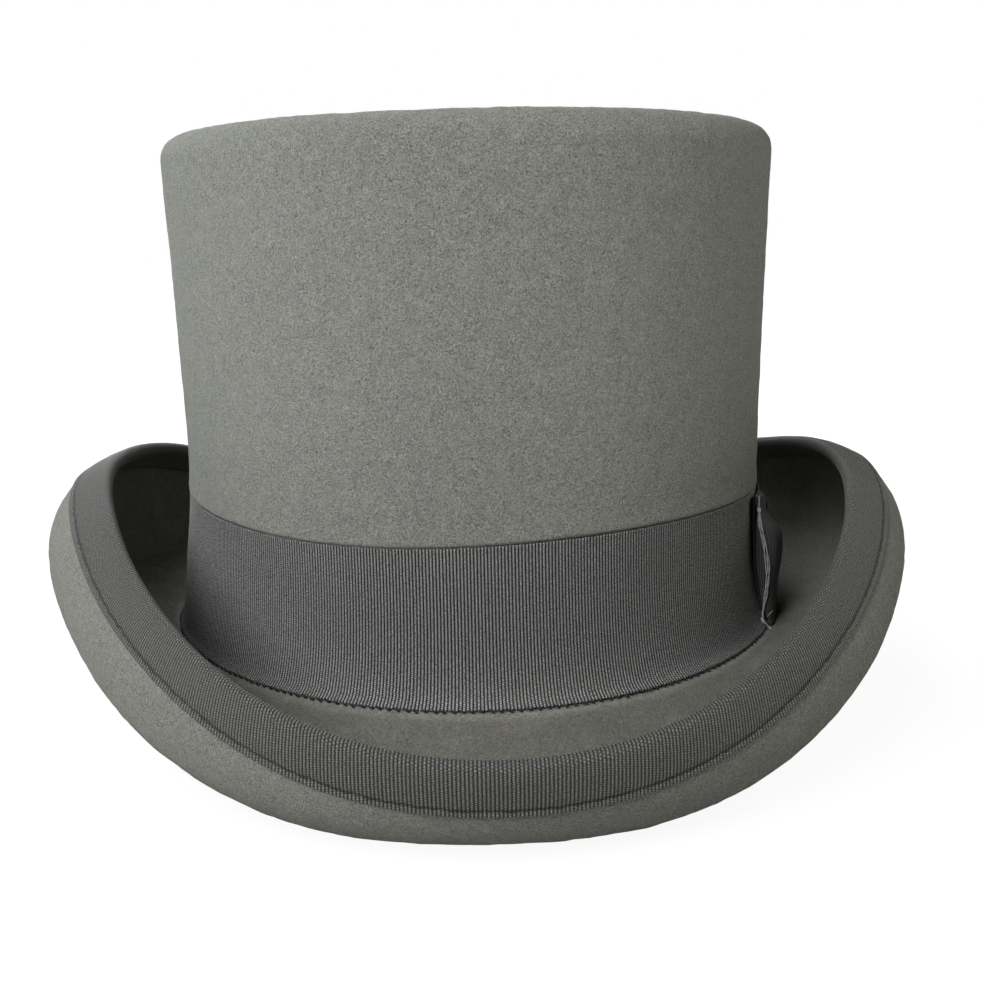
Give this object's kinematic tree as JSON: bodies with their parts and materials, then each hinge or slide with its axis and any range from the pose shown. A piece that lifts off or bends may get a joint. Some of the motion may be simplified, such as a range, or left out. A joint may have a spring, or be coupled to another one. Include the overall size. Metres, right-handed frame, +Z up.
{
  "type": "top hat",
  "caption": "Felt top hat: bell crown with a flat tip, rolled ribbon-bound brim that dips front and back, wide ribbed hatband with a side bow, leather sweatband and lining.",
  "frame": {"origin": "on the surface the hat stands on, under the centre of the head oval", "axes": "+Z up through the tip, -Y towards the front of the hat, +X towards the wearer's left, where the bow is"},
  "size_m": [0.2622, 0.3348, 0.1646],
  "materials": {
    "felt": "napped wool felt",
    "ribbon": "ribbed grosgrain",
    "thread": "twisted thread",
    "tack_thread": "twisted thread",
    "leather": "smooth",
    "reed": "matte",
    "satin": "satin",
    "label": "woven, blank"
  },
  "bodies": {
    "root": {"felt_body": "felt", "brim_binding": "ribbon", "brim_binding_stitches": "thread", "hatband": "ribbon", "hatband_stitches": "thread", "bow_base": "ribbon", "bow_front_loop": "ribbon", "bow_rear_loop": "ribbon", "bow_knot": "ribbon", "bow_tack_threads": "tack_thread", "sweatband": "leather", "sweatband_reed": "reed", "reed_tape": "ribbon", "sweatband_stitches": "thread", "sweatband_seam_tape": "leather", "sweatband_seam_stitches": "thread", "sweatband_bow": "ribbon", "lining_side": "satin", "lining_tip": "satin", "lining_piping": "satin", "lining_stitches": "thread", "size_label": "label"}
  },
  "joints": []
}
